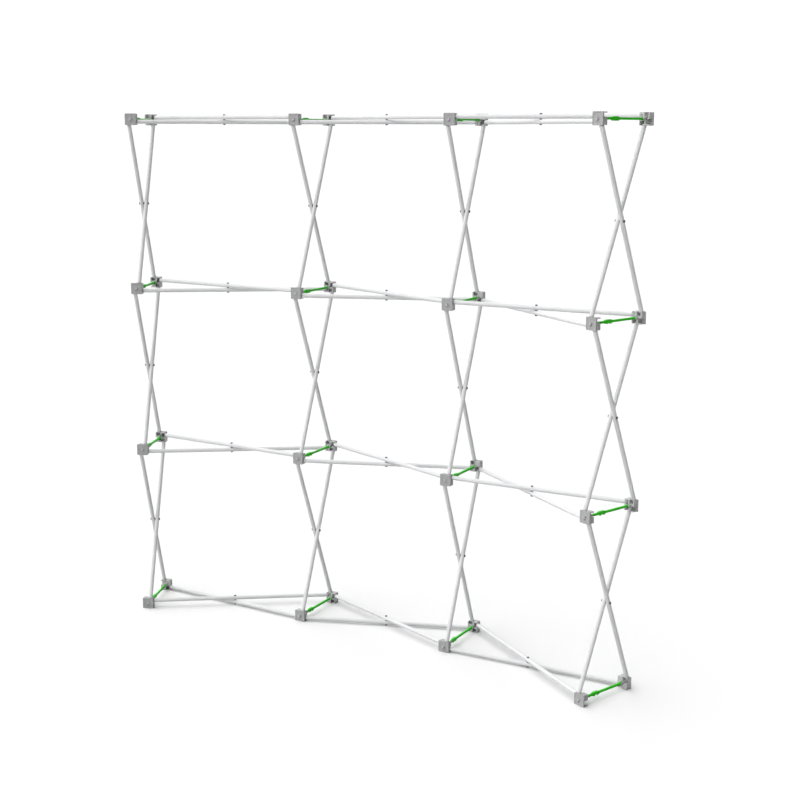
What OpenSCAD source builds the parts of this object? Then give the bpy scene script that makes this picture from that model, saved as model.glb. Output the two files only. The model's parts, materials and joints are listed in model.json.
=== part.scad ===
// Pop-up display backwall: a free-standing lattice frame of three bays by three.
//
// Four columns of hubs stand in four rows, each place with a front hub and a back hub.
// Tubes cross in pairs between the columns and between the rows, held by a rivet where
// they cross and by a pin in each hub, so that the frame folds like lazy tongs. A lock
// of two hooked arms ties each front hub to its back hub and keeps the frame open.
//
// +X runs along the wall, +Y from its front to its back, +Z up. The origin is at the
// middle of the wall's box, on the floor. Rows count from the top, and columns from the
// left, as seen from the front. A column's own frame has u along the wall, w from the
// face of its front hubs to the face of its back hubs, and z up.

/* [Wall] */
// Distance between neighbouring front hubs along the wall
bay_w = 741; // [600:1:900]
// Distance between two rows of hubs
row_h = 740; // [600:1:900]
// Turn of each outer bay towards the front, in degrees
bay_turn = 17; // [5:0.1:25]
// Face to face depth of the two inner columns
inner_depth = 298; // [270:1:330]
// Face to face depth of the two outer columns
outer_depth = 282; // [270:1:330]
// Outward lean of the inner columns' depth line, in degrees
inner_splay = 0.9; // [0:0.1:6]
// Outward lean of the outer columns' depth line, in degrees
outer_splay = 20.7; // [12:0.1:28]

/* [Hubs] */
// Width and height of a hub
hub_w = 50; // [49:0.5:60]
// Depth of a hub behind its face
hub_d = 26; // [25:0.5:32]
// Thickness of a hub's face plate
plate_t = 4.5; // [3:0.1:5]
// Corner radius of a hub
hub_r = 3.5; // [2:0.1:5]
// Step from the face plate in to the body behind it
hub_step = 1; // [0.5:0.1:2]
// Width of the raised rim round the face
rim_w = 5; // [3:0.1:7]
// Depth of the sunk field inside the rim
field_d = 1; // [0.5:0.1:1.5]
// Corner radius of the sunk field
field_r = 2; // [0.5:0.1:3]
// Diameter of the boss in the field of a back hub
boss_d = 16; // [10:0.5:24]
// Distance from a hub's middle to the bottoms of its tube sockets
socket_at = 8; // [7.8:0.1:12]

/* [Tubes] */
// Outer diameter of a tube
tube_d = 18; // [16:0.1:18.2]
// Wall of a tube
tube_wall = 1.2; // [0.8:0.1:1.6]
// Thickness of the washer between two crossing tubes
washer_t = 2; // [1.6:0.1:2.2]
// Width of the tongue at a tube's end, along its pin
tongue_t = 15; // [12:0.1:15.2]
// Height of that tongue
tongue_h = 9.4; // [8:0.1:9.8]
// Diameter of the boss on a tongue, round its pin
tongue_boss_d = 5; // [4.4:0.1:5.4]
// Width of that boss, along the pin
tongue_boss_w = 15.6; // [8:0.1:16]
// Distance from the pin in a tongue to the tongue's collar
collar_at = 3; // [2.8:0.1:4]
// Thickness of the collar that closes the tube's end
collar_t = 1.5; // [1:0.1:2.5]
// Length of the plug inside the tube
spigot_l = 22; // [12:1:40]

/* [Pins and rivets] */
// Diameter of a hinge pin
pin_d = 3; // [2.6:0.1:3.2]
// Distance from a hub's middle to the pins of its tubes
pin_reach = 21.6; // [21.5:0.1:21.8]
// Depth behind the face of the pins for the upright tubes
upright_pin_w = 10.8; // [10.5:0.1:11.5]
// Depth behind the face of the pins for the level tubes
level_pin_w = 17.5; // [17:0.1:18]
// Depth of a pin's outer end below the hub's side
pin_sunk = 2; // [1.5:0.1:4]
// Length of a pin's inner end in the hub's middle
pin_grip = 4; // [2.5:0.1:6]
// Diameter of a scissor rivet's shank
rivet_d = 6; // [4:0.1:7]
// Diameter of its heads and of the washer's rim
rivet_head_d = 10.6; // [9:0.1:14]
// Height of its heads
rivet_head_h = 4; // [2:0.1:5]
// Diameter of the flat end of a head
rivet_top_d = 7.2; // [5:0.1:8.8]

/* [Panel studs] */
// Diameter of the stud that a panel hangs on
stud_d = 10; // [7:0.1:12]
// How far the stud stands out of the face
stud_proud = 6; // [3:0.1:8]
// Bevel at the stud's end
stud_bevel = 0.8; // [0.3:0.1:1.2]
// Diameter of the stud's shank inside the hub
stud_shank_d = 5; // [3:0.1:6]
// Length of that shank
stud_shank_l = 8; // [5:0.1:12]
// Width of the pocket below the stud
pocket_w = 10; // [6:0.1:11]
// Height of the pocket below the stud
pocket_h = 6; // [4:0.1:8]
// Depth of the pocket below the sunk field
pocket_d = 2.5; // [2:0.1:3]

/* [Locks] */
// Distance from a hub's face to the hinge of its lock arm
lock_w = 33; // [32:0.1:36]
// Length of the front arm, from its hinge to its cross bar
front_arm_l = 62; // [52:1:72]
// Thickness of the arms across the wall
arm_t = 8; // [6:0.1:9]
// Height of the arms
arm_h = 9; // [7:0.1:10]
// Diameter of the eye at an arm's hinge
eye_d = 12; // [10.5:0.1:12]
// Thickness of each ear that holds an arm
ear_t = 3; // [2:0.1:4]
// Diameter of the rounded end of an ear
ear_d = 11; // [9:0.1:13]
// Length of the hook at the end of the back arm
hook_l = 44; // [36:1:48]
// Height of the hook
hook_h = 16; // [14:0.1:20]
// Thickness of the hook across the wall
hook_t = 11.4; // [11:0.1:16]
// Length of the sloped part at each end of the hook
hook_taper = 9; // [4:0.5:10]
// Thickness of the hook's roof
roof_t = 3; // [2:0.1:3.5]
// How much wider the hook's notch is at its mouth, at each side
notch_flare = 1.2; // [1:0.1:2]
// Diameter of the front arm's cross bar
bar_d = 6; // [4:0.1:6.5]
// Thickness of the front arm's tongue
blade_t = 4.4; // [3:0.1:6]
// Height of the front arm's tongue
blade_h = 7; // [5:0.1:8]

/* [Clearances] */
// Gap round a pin, rivet or stud in its hole
pin_fit = 0.05; // [0.02:0.01:0.1]
// Gap at each side of a tube in its socket
socket_gap = 0.4; // [0.3:0.05:0.5]
// Gap between a lock's moving parts
lock_gap = 0.4; // [0.3:0.05:0.6]
// Gap between the front arm's shoulder and the hook's end
shoulder_gap = 1.2; // [0.8:0.1:2]

/* [Hidden] */
ROWS = [1, 2, 3, 4];
COLUMNS = [1, 2, 3, 4];
BAYS = [1, 2, 3];
UPPER = 1;
LOWER = -1;
LEFT = -1;
RIGHT = 1;

// "Rising" tubes run from a front hub to the next back hub, along the wall or down it,
// and "falling" tubes run from a back hub to the next front hub.
// Whether the rising level tube lies above or below the other, by row and bay
RISING_LEVEL = [
    [LOWER, LOWER, UPPER],
    [LOWER, LOWER, UPPER],
    [LOWER, LOWER, UPPER],
    [UPPER, LOWER, LOWER]
];
// The side on which the rising upright tube lies, by column
RISING_UPRIGHT = [LEFT, LEFT, LEFT, RIGHT];

HUB_GREY = [0.62, 0.62, 0.62];
TUBE_SILVER = [0.8, 0.81, 0.82];
RIVET_BLACK = [0.12, 0.12, 0.13];
PIN_STEEL = [0.66, 0.67, 0.69];
LOCK_GREEN = [0.16, 0.62, 0.08];

$fn = 32;
eps = 0.01;
// How far a cut runs past the faces that it goes through
past = 1;
tube_r = tube_d / 2;
pin_r = pin_d / 2;
tube_bore_r = tube_r - tube_wall;
// Each tube's axis lies this far to its side of the plane in which the pair crosses
tube_shift = tube_r + washer_t / 2 + pin_fit;

// Plan of the wall
splay = [-outer_splay, -inner_splay, inner_splay, outer_splay];
depth = [outer_depth, inner_depth, inner_depth, outer_depth];
inner_x = bay_w / 2;
outer_x = inner_x + bay_w * cos(bay_turn);
inner_y = bay_w * sin(bay_turn);
wall_front = -max(
    hub_w / 2 * sin(outer_splay),
    stud_proud * cos(outer_splay) + stud_d / 2 * sin(outer_splay)
);
wall_back = max(
    inner_y + inner_depth * cos(inner_splay) + hub_w / 2 * sin(inner_splay),
    outer_depth * cos(outer_splay) + hub_w / 2 * sin(outer_splay)
);
outer_y = -(wall_front + wall_back) / 2;
front_at = [
    [-outer_x, outer_y],
    [-inner_x, outer_y + inner_y],
    [inner_x, outer_y + inner_y],
    [outer_x, outer_y]
];

function row_z(r) = hub_w / 2 + (len(ROWS) - r) * row_h;

function column_point(c, u, w) =
    front_at[c - 1]
    + u * [cos(splay[c - 1]), -sin(splay[c - 1])]
    + w * [sin(splay[c - 1]), cos(splay[c - 1])];

// Level tubes of a bay, in plan
function level_start(bay, rising) =
    column_point(bay, pin_reach, rising ? level_pin_w : depth[bay - 1] - level_pin_w);
function level_end(bay, rising) =
    column_point(bay + 1, -pin_reach, rising ? depth[bay] - level_pin_w : level_pin_w);
function level_run(bay, rising) = level_end(bay, rising) - level_start(bay, rising);
function heading(v) = atan2(v.y, v.x);
function cross_z(a, b) = a.x * b.y - a.y * b.x;
// Share of a level tube's length at which it crosses the other tube of its bay
function crossing(bay, rising) =
    cross_z(level_start(bay, !rising) - level_start(bay, rising), level_run(bay, !rising))
    / cross_z(level_run(bay, rising), level_run(bay, !rising));

// Upright tubes of a column
upright_drop = row_h - 2 * pin_reach;
function upright_reach(c) = depth[c - 1] - 2 * upright_pin_w;
function upright_tilt(c) = atan2(upright_reach(c), upright_drop);
function upright_length(c) = norm([upright_reach(c), upright_drop]);

// Sockets and pins, from the tube's axis
socket_half = tube_r + socket_gap;
pin_in = socket_half + pin_grip;
pin_out = hub_w / 2 - tube_shift - pin_sunk;

// Locks
hook_before = hook_l / 2;
gap_behind = bar_d / 2 + blade_h / 2 + lock_gap;
function back_arm_l(c) = depth[c - 1] - 2 * lock_w - front_arm_l;
ear_gap = arm_t + 2 * lock_gap;

// ---------------------------------------------------------------- placing

module in_column(c) {
    translate([front_at[c - 1].x, front_at[c - 1].y, 0])
        rotate([0, 0, -splay[c - 1]])
            children();
}

module at_front_hub(r, c) {
    in_column(c)
        translate([0, 0, row_z(r)])
            children();
}

module at_back_hub(r, c) {
    in_column(c)
        translate([0, depth[c - 1], row_z(r)])
            rotate([0, 0, 180])
                children();
}

// A hub's four sides: 0 right, 1 top, 2 left, 3 bottom. At each side the children are
// drawn with x out of the hub and z along the pin, away from the hub's middle.
module at_side(side, shift) {
    outward = shift * [1, -1, -1, 1][side];
    rotate([0, [0, -90, 180, 90][side], 0])
        translate([0, 0, outward * tube_shift])
            mirror([0, 0, outward < 0 ? 1 : 0])
                children();
}

// A level tube: x along the tube from its pin at the left, z along the pins
module on_level(r, bay, rising) {
    start = level_start(bay, rising);
    above = RISING_LEVEL[r - 1][bay - 1] * (rising ? 1 : -1);
    translate([start.x, start.y, row_z(r) + above * tube_shift])
        rotate([0, 0, heading(level_run(bay, rising))])
            children();
}

// An upright tube: x along the tube from its upper pin, z along the pins
module on_upright(c, bay, rising) {
    side = RISING_UPRIGHT[c - 1] * (rising ? 1 : -1);
    w = rising ? upright_pin_w : depth[c - 1] - upright_pin_w;
    in_column(c)
        translate([side * tube_shift, w, row_z(bay) - pin_reach])
            rotate([rising ? upright_tilt(c) : -upright_tilt(c), 0, 0])
                rotate([0, 90, 0])
                    children();
}

// ---------------------------------------------------------------- outlines

module rounded_square(w, h, r) {
    square([w - 2 * r, h], center = true);
    square([w, h - 2 * r], center = true);
    for (x = [-1, 1], y = [-1, 1])
        translate([x * (w / 2 - r), y * (h / 2 - r)])
            circle(r);
}

// A hub's outline stands in u and z, and is pushed from one depth to another
module slab(from, to) {
    translate([0, to, 0])
        rotate([90, 0, 0])
            linear_extrude(to - from)
                children();
}

// A side view in x and z, as thick as t
module side_slab(t) {
    rotate([90, 0, 0])
        linear_extrude(t, center = true)
            children();
}

// ---------------------------------------------------------------- hubs

// The socket for one tube, open at the hub's side and back, and the hole for its pin
module socket(pin_w) {
    out = hub_w;
    translate([socket_at, plate_t, -socket_half])
        cube([out, hub_d, 2 * socket_half]);
    translate([pin_reach, pin_w, -pin_in])
        cylinder(h = out, r = pin_r + pin_fit);
}

// The ear beside a lock arm, as a side view with x running back from the hub's face
module ear_outline() {
    translate([lock_w, 0])
        circle(d = ear_d);
    translate([hub_d - eps, -ear_d / 2])
        square([lock_w - hub_d + eps, ear_d]);
}

module ears() {
    for (side = [LEFT, RIGHT])
        translate([side * (ear_gap + ear_t) / 2, 0, 0])
            rotate([0, 0, 90])
                side_slab(ear_t)
                    ear_outline();
}

module lock_bore(r) {
    translate([0, lock_w, 0])
        rotate([0, 90, 0])
            cylinder(h = hub_w, r = r, center = true);
}

// shifts: to which side of the middle the tube lies at the right, top, left and bottom
module hub(shifts, front) {
    difference() {
        union() {
            slab(0, plate_t)
                rounded_square(hub_w, hub_w, hub_r);
            slab(plate_t - eps, hub_d)
                rounded_square(hub_w - 2 * hub_step, hub_w - 2 * hub_step, hub_r);
            ears();
        }
        slab(-eps, field_d)
            rounded_square(hub_w - 2 * rim_w, hub_w - 2 * rim_w, field_r);
        for (side = [0, 2])
            at_side(side, shifts[side])
                socket(level_pin_w);
        for (side = [1, 3])
            at_side(side, shifts[side])
                socket(upright_pin_w);
        lock_bore(pin_r + pin_fit);
        if (front) {
            rotate([-90, 0, 0])
                cylinder(h = field_d + stud_shank_l + pin_fit, d = stud_shank_d + 2 * pin_fit);
            translate([-pocket_w / 2, 0, -stud_d / 2 - stud_bevel - pocket_h])
                cube([pocket_w, field_d + pocket_d, pocket_h]);
        }
    }
    if (!front)
        slab(0, field_d + eps)
            circle(d = boss_d);
}

// A side without a tube has its slot opposite to the slot across the hub
function level_shift(r, c, at_right, at_front) =
    at_right
        ? (c < len(COLUMNS) ? RISING_LEVEL[r - 1][c - 1] * (at_front ? 1 : -1)
            : -level_shift(r, c, false, at_front))
        : (c > 1 ? RISING_LEVEL[r - 1][c - 2] * (at_front ? -1 : 1)
            : -level_shift(r, c, true, at_front));
function front_shifts(r, c) = [
    level_shift(r, c, true, true),
    -RISING_UPRIGHT[c - 1],
    level_shift(r, c, false, true),
    RISING_UPRIGHT[c - 1]
];
// A back hub faces the other way, so its own right is the wall's left
function back_shifts(r, c) = [
    level_shift(r, c, false, false),
    -RISING_UPRIGHT[c - 1],
    level_shift(r, c, true, false),
    RISING_UPRIGHT[c - 1]
];

module front_hubs(r) {
    color(HUB_GREY)
        for (c = COLUMNS)
            at_front_hub(r, c)
                hub(front_shifts(r, c), true);
}

module back_hubs(r) {
    color(HUB_GREY)
        for (c = COLUMNS)
            at_back_hub(r, c)
                hub(back_shifts(r, c), false);
}

// ---------------------------------------------------------------- tubes

module tube(length, hole_at) {
    end = collar_at + collar_t;
    difference() {
        translate([end, 0, 0])
            rotate([0, 90, 0])
                difference() {
                    cylinder(h = length - 2 * end, r = tube_r);
                    translate([0, 0, -eps])
                        cylinder(h = length - 2 * end + 2 * eps, r = tube_bore_r);
                }
        translate([hole_at, 0, 0])
            cylinder(h = tube_d + 2 * past, d = rivet_d + 2 * pin_fit, center = true);
    }
}

module level_tubes(r, height) {
    color(TUBE_SILVER)
        for (bay = BAYS) {
            rising = RISING_LEVEL[r - 1][bay - 1] == height;
            length = norm(level_run(bay, rising));
            on_level(r, bay, rising)
                tube(length, crossing(bay, rising) * length);
        }
}

module upright_tubes(c, side) {
    rising = RISING_UPRIGHT[c - 1] == side;
    color(TUBE_SILVER)
        for (bay = BAYS)
            on_upright(c, bay, rising)
                tube(upright_length(c), upright_length(c) / 2);
}

// A plug closes a tube's end, and its tongue turns on a pin in the hub
module plug() {
    difference() {
        union() {
            cylinder(h = tongue_t, d = tongue_h, center = true);
            cylinder(h = tongue_boss_w, d = tongue_boss_d, center = true);
            translate([0, -tongue_h / 2, -tongue_t / 2])
                cube([collar_at + eps, tongue_h, tongue_t]);
            translate([collar_at, 0, 0])
                rotate([0, 90, 0]) {
                    cylinder(h = collar_t, r = tube_r);
                    cylinder(h = collar_t + spigot_l, r = tube_bore_r - pin_fit);
                }
        }
        cylinder(h = tongue_boss_w + 2 * past, r = pin_r + pin_fit, center = true);
    }
}

module plug_pair(length) {
    plug();
    translate([length, 0, 0])
        rotate([0, 0, 180])
            plug();
}

module tube_end_plugs() {
    color(HUB_GREY)
        for (rising = [true, false], bay = BAYS) {
            for (r = ROWS)
                on_level(r, bay, rising)
                    plug_pair(norm(level_run(bay, rising)));
            for (c = COLUMNS)
                on_upright(c, bay, rising)
                    plug_pair(upright_length(c));
        }
}

// ---------------------------------------------------------------- pins and rivets

module tube_pin(pin_w) {
    translate([pin_reach, pin_w, -pin_in + pin_fit])
        cylinder(h = pin_in + pin_out - pin_fit, r = pin_r);
}

module lock_pin() {
    translate([0, lock_w, 0])
        rotate([0, 90, 0])
            cylinder(h = ear_gap + 2 * ear_t + 2 * lock_gap, r = pin_r, center = true);
}

module hub_pins(r, c, shifts, mirrored) {
    has_tube = [
        mirrored ? c > 1 : c < len(COLUMNS),
        r > 1,
        mirrored ? c < len(COLUMNS) : c > 1,
        r < len(ROWS)
    ];
    for (side = [0, 1, 2, 3])
        if (has_tube[side])
            at_side(side, shifts[side])
                tube_pin(side % 2 == 0 ? level_pin_w : upright_pin_w);
    lock_pin();
}

module hinge_pins() {
    color(PIN_STEEL)
        for (r = ROWS, c = COLUMNS) {
            at_front_hub(r, c)
                hub_pins(r, c, front_shifts(r, c), false);
            at_back_hub(r, c)
                hub_pins(r, c, back_shifts(r, c), true);
        }
}

// A rivet through two crossing tubes, with z along it and its middle at the origin
module rivet() {
    grip = tube_shift + tube_r;
    cylinder(h = 2 * grip + 2 * eps, d = rivet_d, center = true);
    for (end = [0, 1])
        mirror([0, 0, end])
            translate([0, 0, grip])
                cylinder(h = rivet_head_h, d1 = rivet_head_d, d2 = rivet_top_d);
    difference() {
        cylinder(h = washer_t, d = rivet_head_d, center = true);
        cylinder(h = washer_t + 2 * past, d = rivet_d + 2 * pin_fit, center = true);
    }
}

module scissor_rivets() {
    color(RIVET_BLACK) {
        for (r = ROWS, bay = BAYS) {
            at = level_start(bay, true) + crossing(bay, true) * level_run(bay, true);
            translate([at.x, at.y, row_z(r)])
                rivet();
        }
        for (c = COLUMNS, bay = BAYS)
            in_column(c)
                translate([0, depth[c - 1] / 2, row_z(bay) - row_h / 2])
                    rotate([0, 90, 0])
                        rivet();
    }
}

// ---------------------------------------------------------------- panel studs

module stud() {
    straight = stud_proud + field_d - stud_bevel;
    translate([0, field_d, 0])
        rotate([90, 0, 0]) {
            cylinder(h = straight, d = stud_d);
            translate([0, 0, straight - eps])
                cylinder(h = stud_bevel + eps, d1 = stud_d, d2 = stud_d - 2 * stud_bevel);
            translate([0, 0, -stud_shank_l])
                cylinder(h = stud_shank_l + eps, d = stud_shank_d);
        }
}

module panel_studs() {
    color(PIN_STEEL)
        for (r = ROWS, c = COLUMNS)
            at_front_hub(r, c)
                stud();
}

// ---------------------------------------------------------------- locks

module arm_bore() {
    rotate([90, 0, 0])
        cylinder(h = hub_w, r = pin_r + pin_fit, center = true);
}

// An arm from its hinge at x = 0 to x = length
module arm_blank(length) {
    side_slab(arm_t) {
        circle(d = eye_d);
        translate([0, -arm_h / 2])
            square([length, arm_h]);
    }
}

// The notch that drops over the front arm's cross bar, flared at its mouth
module notch_outline() {
    r = bar_d / 2 + lock_gap;
    mouth = r + notch_flare;
    circle(r);
    polygon([
        [-r, 0], [-mouth, -hook_h / 2], [-mouth, -hook_h],
        [mouth, -hook_h], [mouth, -hook_h / 2], [r, 0]
    ]);
}

// A hook seen from the side or from above: full size in the middle, sloped at its ends
module hook_outline(end_size, size) {
    end = hook_l / 2;
    slope = end - hook_taper;
    polygon([
        [-end, -end_size / 2], [-slope, -size / 2], [slope, -size / 2], [end, -end_size / 2],
        [end, end_size / 2], [slope, size / 2], [-slope, size / 2], [-end, end_size / 2]
    ]);
}

module hook_blank() {
    intersection() {
        side_slab(hook_t + 2 * past)
            hook_outline(arm_h, hook_h);
        linear_extrude(hook_h + 2 * past, center = true)
            hook_outline(arm_t, hook_t);
    }
}

// The back arm, from its hinge at the back hub towards the front: x forward, z up
module back_arm(length) {
    blade_gap = blade_t + 2 * lock_gap;
    roof_z = hook_h / 2 - roof_t;
    difference() {
        union() {
            arm_blank(length - hook_before + eps);
            translate([length, 0, 0])
                hook_blank();
        }
        arm_bore();
        translate([length - gap_behind, -blade_gap / 2, -hook_h])
            cube([hook_l, blade_gap, hook_h + roof_z]);
        side_slab(hook_t + 2 * past)
            translate([length, 0])
                notch_outline();
    }
}

// The front arm, from its hinge at the front hub towards the back: x back, z up
module front_arm() {
    body_l = front_arm_l - hook_before - shoulder_gap;
    difference() {
        union() {
            arm_blank(body_l);
            side_slab(blade_t) {
                translate([0, -blade_h / 2])
                    square([front_arm_l, blade_h]);
                translate([front_arm_l, 0])
                    circle(d = blade_h);
            }
            translate([front_arm_l, 0, 0])
                rotate([90, 0, 0])
                    cylinder(h = hook_t, d = bar_d, center = true);
        }
        arm_bore();
    }
}

module lock_back_arm(r, c) {
    color(LOCK_GREEN)
        in_column(c)
            translate([0, depth[c - 1] - lock_w, row_z(r)])
                rotate([0, 0, -90])
                    back_arm(back_arm_l(c));
}

module lock_front_arm(r, c) {
    color(LOCK_GREEN)
        in_column(c)
            translate([0, lock_w, row_z(r)])
                rotate([0, 0, 90])
                    front_arm();
}

// ---------------------------------------------------------------- nodes

for (r = ROWS) {
    front_hubs(r);
    back_hubs(r);
    level_tubes(r, UPPER);
    level_tubes(r, LOWER);
}
for (c = COLUMNS) {
    upright_tubes(c, LEFT);
    upright_tubes(c, RIGHT);
}
tube_end_plugs();
hinge_pins();
scissor_rivets();
panel_studs();
for (r = ROWS, c = COLUMNS) {
    lock_back_arm(r, c);
    lock_front_arm(r, c);
}
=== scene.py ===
# %% [markdown]
# # A folding display wall, from its CAD frame to a finished picture
#
# The object is the bare lattice of a pop-up display wall: four columns and four rows of
# grey plastic hubs, each place with one hub in front and one behind, aluminium tubes that
# cross in pairs between them, and a green two-part lock from each front hub to its back hub.
#
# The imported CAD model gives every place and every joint. This lesson keeps all of it as a
# frame and dresses it: each CAD node either gets a better material, or is replaced by a
# piece that follows the same measures with the small shapes that a maker adds.

# %% Load the frame
import json
import math

import bmesh
import bpy
import numpy as np
from mathutils import Matrix


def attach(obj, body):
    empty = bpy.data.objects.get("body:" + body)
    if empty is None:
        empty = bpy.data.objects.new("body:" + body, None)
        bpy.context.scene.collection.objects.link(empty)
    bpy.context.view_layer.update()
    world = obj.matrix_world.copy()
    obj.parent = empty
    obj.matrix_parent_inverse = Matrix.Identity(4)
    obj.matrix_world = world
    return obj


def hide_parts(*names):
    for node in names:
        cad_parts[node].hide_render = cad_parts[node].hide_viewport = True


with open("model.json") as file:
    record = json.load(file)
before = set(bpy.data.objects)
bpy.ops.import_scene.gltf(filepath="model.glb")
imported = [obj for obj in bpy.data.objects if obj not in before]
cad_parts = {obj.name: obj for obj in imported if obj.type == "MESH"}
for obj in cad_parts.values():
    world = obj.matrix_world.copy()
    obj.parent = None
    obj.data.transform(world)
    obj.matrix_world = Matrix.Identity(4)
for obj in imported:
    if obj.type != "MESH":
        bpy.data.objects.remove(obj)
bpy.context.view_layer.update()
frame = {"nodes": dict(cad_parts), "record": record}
nodes = frame["nodes"]
MM = 0.001

# %% Which body carries each node
body_of_node = {
    node: body
    for body, members in frame["record"]["behaviour"]["bodies"].items()
    for node in members
}
ROWS = [1, 2, 3, 4]
COLUMNS = [1, 2, 3, 4]

# %% [markdown]
# ## Where things are
#
# A real wall is set out from its studs, on which the panels hang, so the studs' places in
# the record say where each column stands and which way it faces. Writing those numbers
# down again would work too, but reading them means that the looks always follow the CAD.
# A column has its own directions: u runs along the wall, w from front to back, z up.

# %% Each column's own directions
UP = np.array([0.0, 0.0, 1.0])
studs = {m["name"]: m for m in frame["record"]["mounts"] if m["name"].startswith("panel_stud")}
column_w = {c: -np.array(studs[f"panel_stud_1_{c}"]["axis"]) for c in COLUMNS}
column_u = {c: np.cross(column_w[c], UP) for c in COLUMNS}
for c in COLUMNS:
    print("column", c, "u", column_u[c].round(3), "w", column_w[c].round(3))


# %% [markdown]
# ## Measuring the tubes
#
# Each tube node holds three tubes. Their vertices are split at the hubs between them, and
# the long direction of each cloud of points is its first principal direction. The mean of
# the points in its end rings then gives the middle of each end. It would also be possible
# to copy the CAD's formulas, but measured ends stay right if the CAD changes.

# %% Points of a node, each counted once
def node_points(name):
    """The different points of a CAD node, in metres: corners that lie together count once."""
    mesh = nodes[name].data
    points = np.empty(len(mesh.vertices) * 3, np.float32)
    mesh.vertices.foreach_get("co", points)
    return np.unique(points.reshape(-1, 3).astype(float).round(6), axis=0)


# %% The line and radius of one straight tube
def measure_tube(points):
    """Ends and radius. The long direction is the first principal direction of the points;
    an end is the mean of the points within 1 mm of the furthest one that way."""
    middle = points.mean(axis=0)
    direction = np.linalg.svd(points - middle, full_matrices=False)[2][0]
    along = (points - middle) @ direction
    ends = [
        points[along < along.min() + MM].mean(axis=0),
        points[along > along.max() - MM].mean(axis=0),
    ]
    axis = (ends[1] - ends[0]) / np.linalg.norm(ends[1] - ends[0])
    from_axis = points - ends[0]
    from_axis = from_axis - np.outer(from_axis @ axis, axis)
    return ends[0], ends[1], np.linalg.norm(from_axis, axis=1).max()


# %% All the tubes
stud_x = [studs[f"panel_stud_1_{c}"]["pos_m"][0] for c in (2, 3)]
row_z = [studs[f"panel_stud_{r}_1"]["pos_m"][2] for r in ROWS]
level = {}
upright = {}
for height in ("upper", "lower"):
    for r in ROWS:
        points = node_points(f"level_tubes_{height}_row_{r}")
        bay_of = np.digitize(points[:, 0], stud_x)
        for bay in (0, 1, 2):
            level[height, r, bay] = measure_tube(points[bay_of == bay])
for side in ("left", "right"):
    for c in COLUMNS:
        points = node_points(f"upright_tubes_{side}_column_{c}")
        bay_of = np.digitize(-points[:, 2], [-row_z[1], -row_z[2]])
        for bay in (0, 1, 2):
            upright[side, c, bay] = measure_tube(points[bay_of == bay])
tube_r = float(np.median([t[2] for t in list(level.values()) + list(upright.values())]))
print("tubes", len(level) + len(upright), "radius", round(tube_r / MM, 2), "mm")
print("one level tube", np.linalg.norm(level["upper", 1, 1][1] - level["upper", 1, 1][0]))

# %% [markdown]
# ## Turned surfaces
#
# Tubes, collars, rivets and studs are all turned shapes: an outline spun round a line. The
# outline's points and the turns are the two parameters of one grid. A lathe-like modifier
# would do it as well, but a grid of numbers gives every piece its size exactly, and keeps
# the coordinates along and across the line for the material.

# %% Two directions across a line
def across(axes, hints):
    """For each line, a direction across it towards the hint, and a third at right angles
    to both, so that the first, the third and the line make a right-handed set."""
    first = hints - (hints * axes).sum(-1, keepdims=True) * axes
    first = first / np.linalg.norm(first, axis=-1, keepdims=True)
    return first, np.cross(axes, first)


# %% The turned grid
def turned(starts, axes, hints, outlines, around):
    """Point (item, k, j) = start + s_k times the axis + r_k times (cos of turn j times the
    first direction across + sin of turn j times the second), for outlines (s_k, r_k)."""
    first, second = across(axes, hints)
    turn = 2 * math.pi * np.arange(around) / around
    ring = (
        np.cos(turn)[None, :, None] * first[:, None, :]
        + np.sin(turn)[None, :, None] * second[:, None, :]
    )
    s = outlines[..., 0]
    r = outlines[..., 1]
    return (
        starts[:, None, None, :]
        + s[:, :, None, None] * axes[:, None, None, :]
        + r[:, :, None, None] * ring[:, None, :, :]
    )


# %% Its own coordinates, for the material
def turned_lay(outlines, around, offset):
    """The same grid laid along x: (s + the item's offset, r cos turn, r sin turn)."""
    turn = 2 * math.pi * np.arange(around) / around
    s = outlines[..., 0] + offset[:, None]
    r = outlines[..., 1]
    grid = np.empty(s.shape + (around, 3))
    grid[..., 0] = s[..., None]
    grid[..., 1] = r[..., None] * np.cos(turn)
    grid[..., 2] = r[..., None] * np.sin(turn)
    return grid


# %% Faces of a grid
def grid_faces(items, rings, around):
    """Point j of ring k joins point j + 1 and ring k + 1; the last point joins the first."""
    k = np.arange(rings - 1)[:, None]
    j = np.arange(around)[None, :]
    after = (j + 1) % around
    quads = np.stack(
        [k * around + j, k * around + after, (k + 1) * around + after, (k + 1) * around + j],
        axis=-1,
    ).reshape(-1, 4)
    first_point = np.arange(items) * rings * around
    return (quads[None] + first_point[:, None, None]).reshape(-1, 4)


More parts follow.
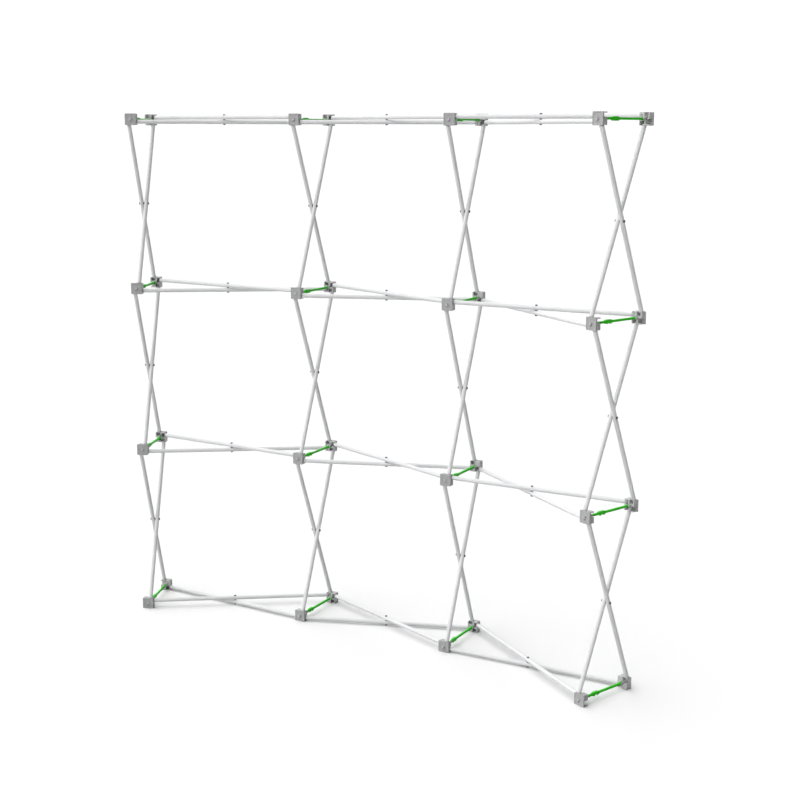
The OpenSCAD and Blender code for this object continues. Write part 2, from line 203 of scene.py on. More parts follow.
# %% A mesh from grids
def make_piece(name, grids, lays, node, sharp=35):
    """One object from several grids (item, ring, turn), welded where points lie together,
    so poles and seams close. The lay is kept as a vector at each point."""
    counts = [g.shape[0] * g.shape[1] * g.shape[2] for g in grids]
    faces = np.concatenate(
        [
            grid_faces(g.shape[0], g.shape[1], g.shape[2]) + before
            for g, before in zip(grids, np.cumsum([0] + counts[:-1]))
        ]
    )
    points = np.concatenate([g.reshape(-1, 3) for g in grids])
    mesh = bpy.data.meshes.new(name)
    mesh.from_pydata(points.tolist(), [], faces.tolist())
    lay = mesh.attributes.new("lay", "FLOAT_VECTOR", "POINT")
    lay.data.foreach_set("vector", np.concatenate([l.reshape(-1, 3) for l in lays]).ravel())
    work = bmesh.new()
    work.from_mesh(mesh)
    bmesh.ops.remove_doubles(work, verts=work.verts, dist=2e-6)
    open_edges = sum(1 for e in work.edges if not e.is_manifold)
    for face in work.faces:
        face.smooth = True
    work.to_mesh(mesh)
    work.free()
    mesh.set_sharp_from_angle(angle=math.radians(sharp))
    piece = bpy.data.objects.new(name, mesh)
    bpy.context.scene.collection.objects.link(piece)
    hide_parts(node)
    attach(piece, body_of_node[node])
    print(name, len(mesh.polygons), "faces,", open_edges, "open edges")
    return piece


# %% [markdown]
# ## The tubes
#
# The real tubes are drawn aluminium, 18 mm thick, cut square and deburred, so each end has
# a small bevel that catches the light, and a bore that the plug closes. The outline runs
# out along the skin, over both bevels, and back through the bore, so each tube is one
# closed wall. One turned grid makes the three tubes of a node at once.

# %% The outline of a tube of any length
SKIN_RINGS = 7


def tube_outlines(lengths, radius, wall, bevel):
    """Rows (s, r) of a closed outline for each length L: bore edge, bevel, skin, bevel, bore
    edge, and back to the start. The skin's rings are spread evenly from end to end."""
    at_start = np.array([[0, radius - wall], [0, radius - bevel], [bevel, radius]])
    skin = np.linspace(0.0, 1.0, SKIN_RINGS + 2)[1:-1]
    rows = []
    for length in lengths:
        middle = np.stack([skin * length, np.full(len(skin), radius)], axis=-1)
        at_end = at_start[::-1] * [-1, 1] + [length, 0]
        rows.append(np.concatenate([at_start, middle, at_end, at_start[:1]]))
    return np.array(rows)


# %% Make the tubes
TUBE_WALL = 1.2 * MM
TUBE_BEVEL = 0.5 * MM
AROUND_TUBE = 40
NEXT_TUBE = 0.83           # how much further along the pattern the next tube starts


def make_tubes(name, measured, hint, offset):
    """The three tubes of a node. Each starts its lay at another offset, so that no two
    tubes show the same lines."""
    starts = np.array([m[0] for m in measured])
    ends = np.array([m[1] for m in measured])
    lengths = np.linalg.norm(ends - starts, axis=1)
    axes = (ends - starts) / lengths[:, None]
    outlines = tube_outlines(lengths, tube_r, TUBE_WALL, TUBE_BEVEL)
    hints = np.tile(hint, (len(starts), 1))
    grid = turned(starts, axes, hints, outlines, AROUND_TUBE)
    lay = turned_lay(outlines, AROUND_TUBE, offset + NEXT_TUBE * np.arange(len(starts)))
    return make_piece(name, [grid], [lay], name.replace("drawn_", ""))


tubes = []
for r in ROWS:
    for n, height in enumerate(("upper", "lower")):
        found = [level[height, r, bay] for bay in (0, 1, 2)]
        tubes.append(make_tubes(f"drawn_level_tubes_{height}_row_{r}", found, UP, 3.1 * r + 17 * n))
for c in COLUMNS:
    for n, side in enumerate(("left", "right")):
        found = [upright[side, c, bay] for bay in (0, 1, 2)]
        name = f"drawn_upright_tubes_{side}_column_{c}"
        tubes.append(make_tubes(name, found, column_u[c], 41 + 3.7 * c + 19 * n))

# %% [markdown]
# ## The plugs in the tubes' ends
#
# A moulded plug closes each tube: a round collar as wide as the tube, a broad tongue with
# a full round nose, and a boss on both sides of the tongue, through which the hinge pin
# goes. The collar and the boss are turned. The tongue is a flat bar whose section grows
# from nothing at its nose, so it is a grid too: one parameter runs along it, the other
# round its section.

# %% Measures of a plug
PLUG_PIN = 4.5 * MM        # from the pin to the tube's end
COLLAR = 1.5 * MM
TONGUE_HALF_H = 4.7 * MM
TONGUE_HALF_T = 7.5 * MM
BOSS_R = 2.5 * MM
BOSS_HALF = 7.8 * MM
PIN_R = 1.5 * MM
SMALL_EDGE = 0.4 * MM      # the bevel on a boss
AROUND_COLLAR = 24
AROUND_BOSS = 16
AROUND_TONGUE = 16
NOSE = [-1.0, -0.98, -0.92, -0.8, -0.6, -0.3, 0.0, 0.3]   # rings, in half heights
SIDE_POWER, TOP_POWER = 0.25, 0.4                         # how square the section is


# %% The tongue's grid
def tongue_grid(pins, axes, pin_axes):
    """Ring k is a rounded rectangle across the tube. Its height follows the round nose:
    half height h = sqrt(R squared - x squared) before the pin and R behind it."""
    third = np.cross(pin_axes, axes)
    x = np.append(np.array(NOSE) * TONGUE_HALF_H, PLUG_PIN - COLLAR / 2)
    half = np.where(x < 0, np.sqrt(np.maximum(TONGUE_HALF_H**2 - x**2, 0)), TONGUE_HALF_H)
    turn = 2 * math.pi * (np.arange(AROUND_TONGUE) + 0.5) / AROUND_TONGUE
    wide = np.sign(np.cos(turn)) * np.abs(np.cos(turn)) ** SIDE_POWER
    tall = np.sign(np.sin(turn)) * np.abs(np.sin(turn)) ** TOP_POWER
    return (
        pins[:, None, None, :]
        + x[None, :, None, None] * axes[:, None, None, :]
        + (TONGUE_HALF_T * wide)[None, None, :, None] * pin_axes[:, None, None, :]
        - half[None, :, None, None] * tall[None, None, :, None] * third[:, None, None, :]
    )


# %% The collar's and the boss's outlines
collar_outline = np.array(
    [
        [0, 0], [0, tube_r - 0.5 * MM], [0.15 * MM, tube_r - 0.15 * MM], [0.5 * MM, tube_r],
        [COLLAR, tube_r], [COLLAR, 0],
    ]
)
collar_outline[:, 0] += PLUG_PIN - COLLAR
boss_outline = np.array(
    [
        [-BOSS_HALF, PIN_R], [-BOSS_HALF, BOSS_R - SMALL_EDGE], [SMALL_EDGE - BOSS_HALF, BOSS_R],
        [BOSS_HALF - SMALL_EDGE, BOSS_R], [BOSS_HALF, BOSS_R - SMALL_EDGE], [BOSS_HALF, PIN_R],
        [-BOSS_HALF, PIN_R],
    ]
)

# %% All the tubes' ends
end_at, end_axis, end_pin = [], [], []
for start, end, _ in level.values():
    for here, there in ((start, end), (end, start)):
        axis = (there - here) / np.linalg.norm(there - here)
        end_at.append(here)
        end_axis.append(axis)
        end_pin.append(UP)
for (_, c, _), (start, end, _) in upright.items():
    for here, there in ((start, end), (end, start)):
        axis = (there - here) / np.linalg.norm(there - here)
        end_at.append(here)
        end_axis.append(axis)
        end_pin.append(column_u[c])
end_at, end_axis, end_pin = map(np.array, (end_at, end_axis, end_pin))
end_pins = end_at - end_axis * PLUG_PIN
print("tube ends", len(end_at))


# %% Make the plugs
def repeat_outline(outline, items):
    """The same outline for every item."""
    return np.repeat(outline[None], items, axis=0)


plug_offset = 0.05 * np.arange(len(end_at))
collars = repeat_outline(collar_outline, len(end_at))
bosses = repeat_outline(boss_outline, len(end_at))
tongues = tongue_grid(end_pins, end_axis, end_pin)
plugs = make_piece(
    "moulded_tube_end_plugs",
    [
        turned(end_pins, end_axis, end_pin, collars, AROUND_COLLAR),
        turned(end_pins, end_pin, end_axis, bosses, AROUND_BOSS),
        tongues,
    ],
    [
        turned_lay(collars, AROUND_COLLAR, plug_offset),
        turned_lay(bosses, AROUND_BOSS, plug_offset),
        tongues,
    ],
    "tube_end_plugs",
)

# %% [markdown]
# ## The rivets at the crossings
#
# Where two tubes cross, a black rivet holds them with a washer between, so that they turn
# like scissors. The head is a low dome with a rim and a small dimple from the rivet tool.
# The place of each rivet is the middle of the shortest line between the two tubes.

# %% Where two tubes cross
def crossing(one, other):
    """Middle and direction of the shortest line between two straight lines: the direction
    is the cross product of theirs, and the feet solve the two right-angle conditions."""
    d1 = (one[1] - one[0]) / np.linalg.norm(one[1] - one[0])
    d2 = (other[1] - other[0]) / np.linalg.norm(other[1] - other[0])
    between = other[0] - one[0]
    dot = d1 @ d2
    t1 = (between @ d1 - (between @ d2) * dot) / (1 - dot**2)
    t2 = ((between @ d1) * dot - between @ d2) / (1 - dot**2)
    foot1 = one[0] + t1 * d1
    foot2 = other[0] + t2 * d2
    gap = np.linalg.norm(foot2 - foot1)
    return (foot1 + foot2) / 2, (foot2 - foot1) / gap, gap, d1


crossings = [crossing(level["lower", r, b], level["upper", r, b]) for r in ROWS for b in (0, 1, 2)]
crossings += [
    crossing(upright["left", c, b], upright["right", c, b]) for c in COLUMNS for b in (0, 1, 2)
]
cross_at = np.array([x[0] for x in crossings])
cross_axis = np.array([x[1] for x in crossings])
cross_hint = np.array([x[3] for x in crossings])
tube_shift = float(np.median([x[2] for x in crossings])) / 2
print("crossings", len(crossings), "tubes apart", round(2 * tube_shift / MM, 2), "mm")

# %% Outlines of a rivet's head and of the washer
HEAD_R = 5.3 * MM
HEAD_H = 4.0 * MM
RIM_H = 1.6 * MM
DOME_TOP_R = 1.8 * MM
SHANK_R = 3.0 * MM
WASHER_EDGE = 0.3 * MM
AROUND_RIVET = 24
grip = tube_shift + tube_r
quarter = np.linspace(0.0, 1.0, 6) * math.pi / 2
head_outline = np.concatenate(
    [
        [[-SHANK_R, 0], [-SHANK_R, SHANK_R], [0, SHANK_R], [0, HEAD_R]],
        np.stack(
            [RIM_H + (HEAD_H - RIM_H) * np.sin(quarter),
             HEAD_R - (HEAD_R - DOME_TOP_R) * (1 - np.cos(quarter))],
            axis=-1,
        ),
        [[HEAD_H - 0.5 * MM, 1.1 * MM], [HEAD_H - 0.6 * MM, 0]],
    ]
)
washer_half = tube_shift - tube_r
washer_outline = np.array(
    [
        [-washer_half, SHANK_R], [-washer_half, HEAD_R - WASHER_EDGE],
        [WASHER_EDGE - washer_half, HEAD_R], [washer_half - WASHER_EDGE, HEAD_R],
        [washer_half, HEAD_R - WASHER_EDGE], [washer_half, SHANK_R], [-washer_half, SHANK_R],
    ]
)

# %% Make the rivets
heads = repeat_outline(head_outline, len(crossings))
washers = repeat_outline(washer_outline, len(crossings))
rivet_offset = 0.03 * np.arange(len(crossings))
rivets = make_piece(
    "domed_scissor_rivets",
    [
        turned(cross_at + grip * cross_axis, cross_axis, cross_hint, heads, AROUND_RIVET),
        turned(cross_at - grip * cross_axis, -cross_axis, cross_hint, heads, AROUND_RIVET),
        turned(cross_at, cross_axis, cross_hint, washers, AROUND_RIVET),
    ],
    [
        turned_lay(heads, AROUND_RIVET, rivet_offset),
        turned_lay(heads, AROUND_RIVET, rivet_offset + 1),
        turned_lay(washers, AROUND_RIVET, rivet_offset + 2),
    ],
    "scissor_rivets",
)

# %% [markdown]
# ## The panel studs
#
# Each front hub carries a turned stud on which a panel hangs. It is plated steel, with a
# groove near its foot, a bevelled end and a shallow centre from the lathe. Its place, its
# thickness and its length are the record's mount.

# %% The stud's outline
any_stud = studs["panel_stud_1_1"]["dims"]
STUD_R = any_stud["r_mm"] * MM
STUD_L = any_stud["length_mm"] * MM
STUD_BEVEL = 0.8 * MM
ROOT_L, ROOT_R = 6.0 * MM, 2.4 * MM
GROOVE_R = STUD_R - 0.35 * MM
AROUND_STUD = 40
stud_end = STUD_L + STUD_BEVEL
stud_outline = np.array(
    [
        [-ROOT_L, 0], [-ROOT_L, ROOT_R], [0, ROOT_R], [0, STUD_R - 0.1 * MM], [0.1 * MM, STUD_R],
        [1.5 * MM, STUD_R], [1.7 * MM, GROOVE_R], [2.3 * MM, GROOVE_R], [2.5 * MM, STUD_R],
        [STUD_L - 0.15 * MM, STUD_R], [STUD_L + 0.1 * MM, STUD_R - 0.1 * MM],
        [stud_end - 0.1 * MM, STUD_R - 0.72 * MM], [stud_end, STUD_R - 1.0 * MM],
        [stud_end, 1.7 * MM], [stud_end - 0.25 * MM, 1.45 * MM], [stud_end - 1.1 * MM, 0],
    ]
)

# %% Make the studs
stud_axes = np.array([studs[f"panel_stud_{r}_{c}"]["axis"] for r in ROWS for c in COLUMNS])
stud_at = np.array([studs[f"panel_stud_{r}_{c}"]["pos_m"] for r in ROWS for c in COLUMNS])
stud_feet = stud_at - stud_axes * STUD_L / 2
stud_outlines = repeat_outline(stud_outline, len(stud_at))
turned_studs = make_piece(
    "turned_panel_studs",
    [turned(stud_feet, stud_axes, np.tile(UP, (len(stud_at), 1)), stud_outlines, AROUND_STUD)],
    [turned_lay(stud_outlines, AROUND_STUD, 0.11 * np.arange(len(stud_at)))],
    "panel_studs",
)

# %% [markdown]
# ## The hubs and the lock arms
#
# These are injection moulded, so no edge is truly sharp: light runs along every rounded
# corner. Their shapes are already right in the CAD, so a copy of each CAD mesh is welded,
# its flat faces are joined, and a Bevel modifier rounds the edges. Modelling them again
# would only risk a gap at a pin or a tube.

# %% A moulded copy of a CAD node
WELD = 0.01 * MM
FLAT_WITHIN = math.radians(0.5)
ROUND_FROM = math.radians(30)


def moulded(name, node, radius, segments=2):
    """A welded copy of a CAD mesh with its flat parts joined, every edge sharper than 30
    degrees rounded to the radius, and normals that keep the flats flat."""
    mesh = nodes[node].data.copy()
    mesh.name = name
    work = bmesh.new()
    work.from_mesh(mesh)
    bmesh.ops.remove_doubles(work, verts=work.verts, dist=WELD)
    bmesh.ops.dissolve_degenerate(work, dist=WELD, edges=work.edges)
    bmesh.ops.dissolve_limit(
        work, angle_limit=FLAT_WITHIN, verts=work.verts, edges=work.edges, delimit=set()
    )
    open_edges = sum(1 for e in work.edges if not e.is_manifold)
    for face in work.faces:
        face.smooth = True
    work.to_mesh(mesh)
    work.free()
    piece = bpy.data.objects.new(name, mesh)
    bpy.context.scene.collection.objects.link(piece)
    bevel = piece.modifiers.new("rounded_edges", "BEVEL")
    bevel.width = radius
    bevel.segments = segments
    bevel.limit_method = "ANGLE"
    bevel.angle_limit = ROUND_FROM
    bevel.use_clamp_overlap = False
    bevel.miter_outer = "MITER_ARC"
    flats = piece.modifiers.new("flat_shading", "WEIGHTED_NORMAL")
    flats.keep_sharp = True
    flats.weight = 100
    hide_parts(node)
    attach(piece, body_of_node[node])
    return piece, open_edges


# %% Make the hubs
hubs = []
for r in ROWS:
    for where in ("front", "back"):
        name = f"{where}_hubs_row_{r}"
        piece, open_edges = moulded(f"moulded_{name}", name, 0.4 * MM)
        hubs.append(piece)
        print(piece.name, len(piece.data.polygons), "faces,", open_edges, "open edges")

# %% Make the lock arms
arms = []
for r in ROWS:
    for c in COLUMNS:
        for which in ("back", "front"):
            name = f"lock_{which}_arm_{r}_{c}"
            piece, open_edges = moulded(f"moulded_{name}", name, 0.7 * MM)
            arms.append(piece)
print("lock arms", len(arms), "last one", open_edges, "open edges")


# %% [markdown]
# ## Groups that several finishes share
#
# A fine grain, a slow mottle and handling marks appear on more than one material of this
# wall. Each is built once as a node group with named inputs and outputs, and every
# material places it with its own values. Only patterns come out of a group. The shader
# itself, and numbers that are the same everywhere, stay in the material.

# %% Helpers for node trees
def new_group(name, inputs, outputs):
    """A shader node group with those sockets: (name, kind, value) in, (name, kind) out."""
    group = bpy.data.node_groups.new(name, "ShaderNodeTree")
    for label, kind, value in inputs:
        socket = group.interface.new_socket(name=label, in_out="INPUT", socket_type=kind)
        if value is not None:
            socket.default_value = value
    for label, kind in outputs:
        group.interface.new_socket(name=label, in_out="OUTPUT", socket_type=kind)
    return group, group.nodes.new("NodeGroupInput"), group.nodes.new("NodeGroupOutput")


def add(tree, kind, links=(), **settings):
    """A node of that kind. Links are (input, output socket) pairs, and a plain value for an
    input is set on its socket."""
    node = tree.nodes.new("ShaderNode" + kind)
    for key, value in settings.items():
        setattr(node, key, value)
    for key, value in links:
        if isinstance(value, bpy.types.NodeSocket):
            tree.links.new(value, node.inputs[key])
        else:
            node.inputs[key].default_value = value
    return node


# %% Moulded grain
# A spark-eroded mould leaves a fine, even grain, and the plastic's flow leaves a very slow
# change of shade. Both are noise, one at 0.4 mm and one at some centimetres.
FLOAT, VECTOR, COLOUR = "NodeSocketFloat", "NodeSocketVector", "NodeSocketColor"
grain_group, gi, go = new_group(
    "moulded_grain",
    [
        ("Coordinates", VECTOR, None), ("Grains per metre", FLOAT, 2500.0),
        ("Mottle per metre", FLOAT, 30.0), ("Light", COLOUR, None), ("Dark", COLOUR, None),
        ("Smooth", FLOAT, 0.4), ("Dull", FLOAT, 0.5),
    ],
    [("Color", COLOUR), ("Roughness", FLOAT), ("Height", FLOAT)],
)
tree = grain_group
fine = add(tree, "TexNoise", [("Vector", gi.outputs["Coordinates"]),
                              ("Scale", gi.outputs["Grains per metre"]), ("Detail", 2.0)])
slow = add(tree, "TexNoise", [("Vector", gi.outputs["Coordinates"]),
                              ("Scale", gi.outputs["Mottle per metre"]), ("Detail", 3.0)])
wide = add(tree, "MapRange", [("Value", slow.outputs["Fac"]), ("From Min", 0.35),
                              ("From Max", 0.65)])
tint = add(tree, "Mix", [("Factor", wide.outputs["Result"])], data_type="RGBA")
tree.links.new(gi.outputs["Dark"], tint.inputs["A"])
tree.links.new(gi.outputs["Light"], tint.inputs["B"])
gloss = add(tree, "MapRange", [("Value", wide.outputs["Result"]),
                               ("To Min", gi.outputs["Dull"]), ("To Max", gi.outputs["Smooth"])])
tree.links.new(tint.outputs["Result"], go.inputs["Color"])
tree.links.new(gloss.outputs["Result"], go.inputs["Roughness"])
tree.links.new(fine.outputs["Fac"], go.inputs["Height"])

# %% Handling marks
# Hands and the carrying bag leave faint rubbed places. Noise is cut at a threshold with a
# soft edge, broken up by a finer noise, and comes out as a mask from 0 to 1.
marks_group, gi, go = new_group(
    "handling_marks",
    [("Coordinates", VECTOR, None), ("Marks per metre", FLOAT, 12.0), ("Amount", FLOAT, 0.4)],
    [("Mask", FLOAT)],
)
tree = marks_group
patch = add(tree, "TexNoise", [("Vector", gi.outputs["Coordinates"]),
                               ("Scale", gi.outputs["Marks per metre"]), ("Detail", 5.0),
                               ("Roughness", 0.65)])
edge = add(tree, "Math", [(0, 0.72), (1, gi.outputs["Amount"])], operation="SUBTRACT")
cut = add(tree, "MapRange", [("Value", patch.outputs["Fac"]), ("From Min", edge.outputs[0]),
                             ("From Max", 0.78)], interpolation_type="SMOOTHSTEP")
tree.links.new(cut.outputs["Result"], go.inputs["Mask"])

# %% Lines along or round a piece
# Drawing leaves hair lines along a tube, and turning leaves rings round a stud. Both are
# noise squeezed one way: the lay's coordinates are multiplied by a small number in the
# direction of the lines and by a large one across them.
lines_group, gi, go = new_group(
    "machined_lines",
    [("Coordinates", VECTOR, None), ("Stretch", VECTOR, None)],
    [("Lines", FLOAT), ("Height", FLOAT)],
)
tree = lines_group
squeezed = add(tree, "VectorMath", [(0, gi.outputs["Coordinates"]), (1, gi.outputs["Stretch"])],
               operation="MULTIPLY")
hair = add(tree, "TexNoise", [("Vector", squeezed.outputs[0]), ("Scale", 1.0), ("Detail", 4.0),
                              ("Roughness", 0.6)])
tree.links.new(hair.outputs["Fac"], go.inputs["Lines"])
tree.links.new(hair.outputs["Fac"], go.inputs["Height"])
print("groups", [g.name for g in bpy.data.node_groups])


# %% [markdown]
# ## The finishes
#
# Each finish is one material: a Principled shader with its plain numbers on its own
# sockets, and patterns from the groups on colour, roughness and bump.

# %% A material with a group on it
def new_material(name, metallic=0.0, **plain):
    """A Principled material. Plain numbers go straight on the shader's sockets."""
    material = bpy.data.materials.new(name)
    material.use_nodes = True
    shader = material.node_tree.nodes["Principled BSDF"]
    shader.inputs["Metallic"].default_value = metallic
    for label, value in plain.items():
        shader.inputs[label.replace("_", " ")].default_value = value
    return material, material.node_tree, shader


def place(tree, group, links):
    """The group as a node of the tree, with values or sockets on its inputs."""
    node = tree.nodes.new("ShaderNodeGroup")
    node.node_tree = group
    for key, value in links:
        if isinstance(value, bpy.types.NodeSocket):
            tree.links.new(value, node.inputs[key])
        else:
            node.inputs[key].default_value = value
    return node


def bump(tree, shader, height, strength, distance):
    """A Bump node from that height into the shader's Normal."""
    node = add(tree, "Bump", [("Height", height), ("Strength", strength), ("Distance", distance)])
    tree.links.new(node.outputs["Normal"], shader.inputs["Normal"])


# %% [markdown]
# ## The plastics
#
# The hubs are a cool grey and the locks a strong green, both with a half-matt moulded face.
# The back hubs are painted a shade lighter than the front hubs, and the plugs lighter still.
# This is painted light that makes up for the shade in the back hubs' insides and in the
# sockets round the plugs. A single grey would look flat, so the grain group gives each its
# slow change of shade, and handling marks polish it here and there.

# %% Moulded plastics
GRAIN_BUMP = 0.35
RUBBED_POLISH = 0.82       # roughness left where hands have rubbed


def plastic(name, light, dark, smooth, dull, grain_depth, marks, **plain):
    """Grained plastic: the grain group on colour, roughness and bump, and handling marks
    that polish it here and there."""
    material, tree, shader = new_material(name, **plain)
    where = add(tree, "TexCoord").outputs["Object"]
    grain = place(tree, grain_group, [
        ("Coordinates", where), ("Light", light), ("Dark", dark), ("Smooth", smooth),
        ("Dull", dull)])
    rubbed = place(tree, marks_group, [("Coordinates", where), ("Amount", marks)])
    polish = add(tree, "MapRange", [("Value", rubbed.outputs["Mask"]),
                                    ("To Min", 1.0), ("To Max", RUBBED_POLISH)])
    rough = add(tree, "Math", [(0, grain.outputs["Roughness"]), (1, polish.outputs["Result"])],
                operation="MULTIPLY")
    tree.links.new(grain.outputs["Color"], shader.inputs["Base Color"])
    tree.links.new(rough.outputs[0], shader.inputs["Roughness"])
    bump(tree, shader, grain.outputs["Height"], GRAIN_BUMP, grain_depth)
    return material


hub_plastic = plastic("hub_plastic", (0.36, 0.36, 0.362, 1), (0.33, 0.33, 0.332, 1),
                      0.30, 0.40, 0.00004, 0.25)
# Painted light: the hub plastic made lighter for the back hubs, standing in for light that their
# shaded insides lack.
back_hub_plastic_painted_light = plastic("back_hub_plastic_painted_light", (0.45, 0.45, 0.452, 1), (0.42, 0.42, 0.422, 1),
                           0.30, 0.40, 0.00004, 0.25)
# Painted light: the plugs' plastic is made lighter to cancel the shade in the hubs' sockets round
# the tube ends.
plug_plastic_painted_light = plastic("plug_plastic_painted_light", (0.66, 0.66, 0.662, 1), (0.62, 0.62, 0.622, 1),
                       0.36, 0.46, 0.00004, 0.2)
lock_green = plastic("lock_green", (0.026, 0.55, 0.003, 1), (0.020, 0.49, 0.002, 1),
                     0.34, 0.44, 0.00004, 0.25, Specular_IOR_Level=0.15)

# %% [markdown]
# ## The tubes' finish
#
# The tubes are anodised aluminium with a satin face. Anodising scatters light, so a tube
# shows a soft change from its bright side to its dark side, and hardly mirrors the room. A
# fully metallic shader would mirror the white studio all round and lose that change, so
# most of this finish is diffuse, with hair lines from the drawing along it.

# %% Drawn aluminium
tube_aluminium, tree, shader = new_material("tube_aluminium", metallic=0.1)
lay = add(tree, "Attribute", attribute_name="lay").outputs["Vector"]
drawn = place(tree, lines_group, [("Coordinates", lay), ("Stretch", (6.0, 700.0, 700.0))])
rubbed = place(tree, marks_group, [("Coordinates", lay), ("Marks per metre", 9.0),
                                   ("Amount", 0.28)])
streak = add(tree, "MapRange", [("Value", drawn.outputs["Lines"]), ("From Min", 0.35),
                                ("From Max", 0.65)])
tone = add(tree, "Mix", [("Factor", streak.outputs["Result"])], data_type="RGBA")
tone.inputs["A"].default_value = (0.60, 0.602, 0.61, 1)
tone.inputs["B"].default_value = (0.735, 0.737, 0.745, 1)
rough = add(tree, "MapRange", [("Value", drawn.outputs["Lines"]), ("From Min", 0.3),
                               ("From Max", 0.7), ("To Min", 0.34), ("To Max", 0.46)])
matt = add(tree, "MapRange", [("Value", rubbed.outputs["Mask"]), ("To Min", 0.0),
                              ("To Max", 0.07)])
total = add(tree, "Math", [(0, rough.outputs["Result"]), (1, matt.outputs["Result"])],
            operation="ADD")
tree.links.new(tone.outputs["Result"], shader.inputs["Base Color"])
tree.links.new(total.outputs[0], shader.inputs["Roughness"])
bump(tree, shader, drawn.outputs["Height"], 0.12, 0.00002)


# %% Turned steel and blackened rivets
def turned_metal(name, light, dark, smooth, dull, metallic, stretch, depth):
    """Metal with rings from the lathe: fine lines across s and r of the lay."""
    material, tree, shader = new_material(name, metallic=metallic)
    lay = add(tree, "Attribute", attribute_name="lay").outputs["Vector"]
    parts = add(tree, "SeparateXYZ", [("Vector", lay)])
    squares = [
        add(tree, "Math", [(0, parts.outputs[key]), (1, 2.0)], operation="POWER").outputs[0]
        for key in ("Y", "Z")
    ]
    both = add(tree, "Math", [(0, squares[0]), (1, squares[1])], operation="ADD").outputs[0]
    radius = add(tree, "Math", [(0, both)], operation="SQRT").outputs[0]
    ring = add(tree, "CombineXYZ", [("X", parts.outputs["X"]), ("Y", radius)]).outputs[0]
    rings = place(tree, lines_group, [("Coordinates", ring), ("Stretch", stretch)])
    tone = add(tree, "Mix", [("Factor", rings.outputs["Lines"])], data_type="RGBA")
    tone.inputs["A"].default_value = dark
    tone.inputs["B"].default_value = light
    rough = add(tree, "MapRange", [("Value", rings.outputs["Lines"]), ("From Min", 0.3),
                                   ("From Max", 0.7), ("To Min", smooth), ("To Max", dull)])
    tree.links.new(tone.outputs["Result"], shader.inputs["Base Color"])
    tree.links.new(rough.outputs["Result"], shader.inputs["Roughness"])
    bump(tree, shader, rings.outputs["Height"], 0.25, depth)
    return material


stud_metal = turned_metal("stud_metal", (0.52, 0.52, 0.53, 1), (0.45, 0.45, 0.46, 1),
                          0.40, 0.50, 0.6, (2500.0, 2500.0, 0.0), 0.00003)
rivet_black = turned_metal("rivet_black", (0.055, 0.055, 0.057, 1), (0.040, 0.040, 0.042, 1),
                           0.34, 0.46, 0.0, (1500.0, 1500.0, 0.0), 0.00003)

# %% Steel pins
# The pins are CAD solids that keep their own mesh, so their lines come from Object
# coordinates: fine noise in all directions, as on ground steel wire.
pin_steel, tree, shader = new_material("pin_steel", metallic=1.0)
where = add(tree, "TexCoord").outputs["Object"]
ground = place(tree, lines_group, [("Coordinates", where), ("Stretch", (2500.0, 2500.0, 2500.0))])
tone = add(tree, "Mix", [("Factor", ground.outputs["Lines"])], data_type="RGBA")
tone.inputs["A"].default_value = (0.52, 0.525, 0.54, 1)
tone.inputs["B"].default_value = (0.64, 0.645, 0.66, 1)
rough = add(tree, "MapRange", [("Value", ground.outputs["Lines"]), ("To Min", 0.22),
                               ("To Max", 0.40)])
tree.links.new(tone.outputs["Result"], shader.inputs["Base Color"])
tree.links.new(rough.outputs["Result"], shader.inputs["Roughness"])
bump(tree, shader, ground.outputs["Height"], 0.1, 0.00002)


# %% Give the pieces their finishes
def finish_with(piece, material):
    """The material takes the place of all the piece's slots."""
    piece.data.materials.clear()
    piece.data.materials.append(material)


for piece in tubes:
    finish_with(piece, tube_aluminium)
# The back hubs take the lighter copy of the hub plastic, which is painted light for their shaded
# insides.
for piece in hubs:
    finish_with(piece, back_hub_plastic_painted_light if "back" in piece.name else hub_plastic)
for piece in arms:
    finish_with(piece, lock_green)
finish_with(plugs, plug_plastic_painted_light)
finish_with(rivets, rivet_black)
finish_with(turned_studs, stud_metal)
for held in nodes["hinge_pins"].material_slots:
    held.material = pin_steel
print("materials", [m.name for m in bpy.data.materials if m.users])

# %% [markdown]
# ## Floor, light and camera
#
# The wall stands in a white studio. The floor is a plain pale sheet that keeps the wall's
# soft shadow. A very wide lamp from the left makes the change across each tube, a softer
# one comes from the ceiling, and the room and the floor fill the rest. The background is
# white for the eye and for reflections only, so it adds no light to the wall.

# %% Which rays see the background
def seen_directly(tree):
    """1 for a ray from the camera, from a reflection or through glass, and 0 for light."""
    path = add(tree, "LightPath")
    seen = path.outputs["Is Camera Ray"]
    for other in ("Is Glossy Ray", "Is Transmission Ray"):
        seen = add(tree, "Math", [(0, seen), (1, path.outputs[other])],
                   operation="MAXIMUM").outputs[0]
    return seen


def stage_piece(name, points, faces):
    """A piece of the stage with a bare material of its own: returns that material's tree."""
    mesh = bpy.data.meshes.new(name)
    mesh.from_pydata(points, [], faces)
    piece = bpy.data.objects.new(name, mesh)
    bpy.context.scene.collection.objects.link(piece)
    material = bpy.data.materials.new(name + "_paint")
    material.use_nodes = True
    material.node_tree.nodes.clear()
    mesh.materials.append(material)
    return material.node_tree


# %% The floor
# Its colour is lighter for the eye than for the light that it throws back on the wall.
FLOOR_HALF = 30.0
corners = [(x * FLOOR_HALF, y * FLOOR_HALF, 0) for x, y in ((-1, -1), (1, -1), (1, 1), (-1, 1))]
tree = stage_piece("floor", corners, [(0, 1, 2, 3)])
paint = add(tree, "Mix", [("Factor", seen_directly(tree))], data_type="RGBA")
paint.inputs["A"].default_value = (0.38, 0.38, 0.38, 1)
paint.inputs["B"].default_value = (0.76, 0.76, 0.76, 1)
sheet = add(tree, "BsdfDiffuse", [("Color", paint.outputs["Result"])])
add(tree, "OutputMaterial", [("Surface", sheet.outputs[0])])

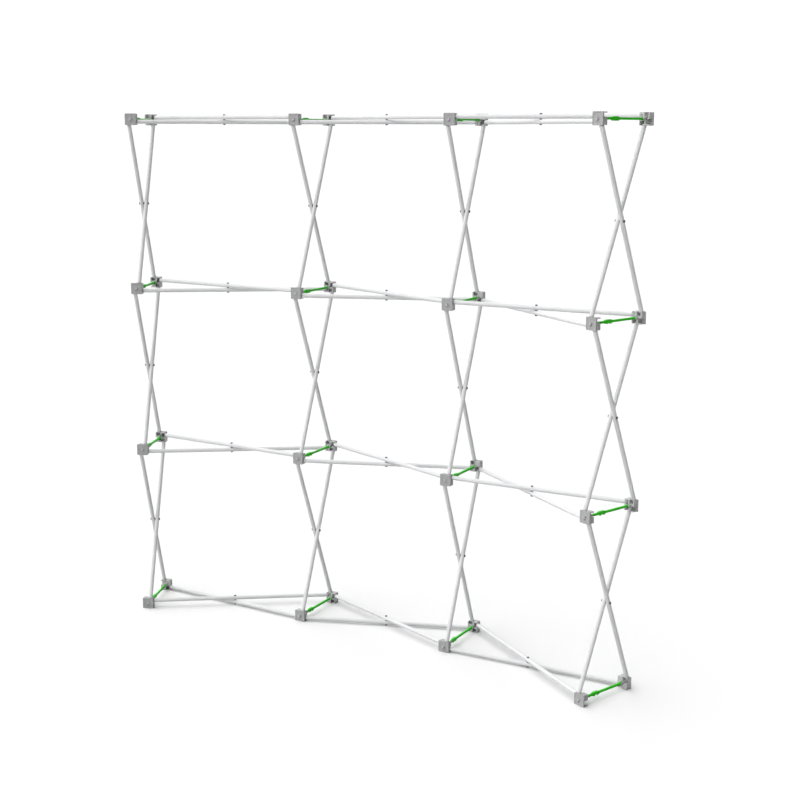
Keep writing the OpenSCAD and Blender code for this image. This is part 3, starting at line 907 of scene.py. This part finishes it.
# %% The backdrop
# A white dome far round the wall: point (k, j) = R (cos e_k cos t_j, cos e_k sin t_j, sin e_k).
# Only the eye and reflections see it, and light passes through. The paper's fine tooth keeps
# the renderer sampling beside it, so the thin tubes in front of it stay clean.
DOME_R = 29.0
DOME_RINGS = 13
AROUND_DOME = 48
rise = np.linspace(-0.01, math.pi / 2, DOME_RINGS)
turn = 2 * math.pi * np.arange(AROUND_DOME) / AROUND_DOME
dome_grid = DOME_R * np.stack(
    [np.outer(np.cos(rise), np.cos(turn)), np.outer(np.cos(rise), np.sin(turn)),
     np.outer(np.sin(rise), np.ones(AROUND_DOME))],
    axis=-1,
)
dome_faces = grid_faces(1, DOME_RINGS, AROUND_DOME)
tree = stage_piece("backdrop", dome_grid.reshape(-1, 3).tolist(), dome_faces.tolist())
tooth = add(tree, "TexWhiteNoise", [("Vector", add(tree, "TexCoord").outputs["Object"])])
paper = add(tree, "MapRange", [("Value", tooth.outputs["Value"]), ("To Min", 0.95),
                               ("To Max", 1.13)])
white = add(tree, "Emission", [("Color", (1, 1, 1, 1)), ("Strength", paper.outputs["Result"])])
clear = add(tree, "BsdfTransparent")
either = add(tree, "MixShader", [("Fac", seen_directly(tree)), (1, clear.outputs[0]),
                                 (2, white.outputs[0])])
add(tree, "OutputMaterial", [("Surface", either.outputs[0])])

# %% The white room
world = bpy.data.worlds.new("white_room")
bpy.context.scene.world = world
world.use_nodes = True
tree = world.node_tree
tree.nodes.clear()
ROOM_LIGHT = 0.1
strength = add(tree, "MapRange", [("Value", seen_directly(tree)), ("To Min", ROOM_LIGHT),
                                  ("To Max", 1.0)])
room = add(tree, "Background", [("Color", (1, 1, 1, 1)), ("Strength", strength.outputs["Result"])])
add(tree, "OutputWorld", [("Surface", room.outputs[0])])


# %% The lamps
def soft_lamp(name, from_direction, strength, spread):
    """A Sun lamp whose light comes from that direction, spread over so many degrees."""
    data = bpy.data.lights.new(name, "SUN")
    data.energy = strength
    data.angle = math.radians(spread)
    lamp = bpy.data.objects.new(name, data)
    bpy.context.scene.collection.objects.link(lamp)
    towards = np.array(from_direction, float)
    towards = towards / np.linalg.norm(towards)
    tilt = math.acos(towards[2])
    heading = math.atan2(towards[1], towards[0])
    lamp.rotation_euler = (0, tilt, heading)
    return lamp


soft_lamp("ceiling", (-0.1, 0.1, 1.0), 1.35, 80)
soft_lamp("left_side", (-0.871, -0.491, 0.0), 6.0, 170)

# %% The camera
# The photograph was fitted to the hubs' centres and the rivets, so the place, the turn and
# the lens below put the wall where it stands in the picture.
camera_data = bpy.data.cameras.new("camera")
camera_data.sensor_width = 36.0
camera_data.lens = 59.357
camera_data.clip_end = 200.0
camera = bpy.data.objects.new("camera", camera_data)
bpy.context.scene.collection.objects.link(camera)
turn, tilt, roll = math.radians(29.380), math.radians(78.504), math.radians(0.183)


def turn_about(axis, angle):
    """The 3 by 3 matrix that turns about z or x by the angle."""
    c, s = math.cos(angle), math.sin(angle)
    if axis == "z":
        return np.array([[c, -s, 0], [s, c, 0], [0, 0, 1]])
    return np.array([[1, 0, 0], [0, c, -s], [0, s, c]])


looking = np.eye(4)
looking[:3, :3] = turn_about("z", turn) @ turn_about("x", tilt) @ turn_about("z", roll)
looking[:3, 3] = (2.8288, -4.7909, 2.1955)
camera.matrix_world = Matrix(looking.tolist())
bpy.context.scene.camera = camera
bpy.context.scene.view_settings.view_transform = "Standard"
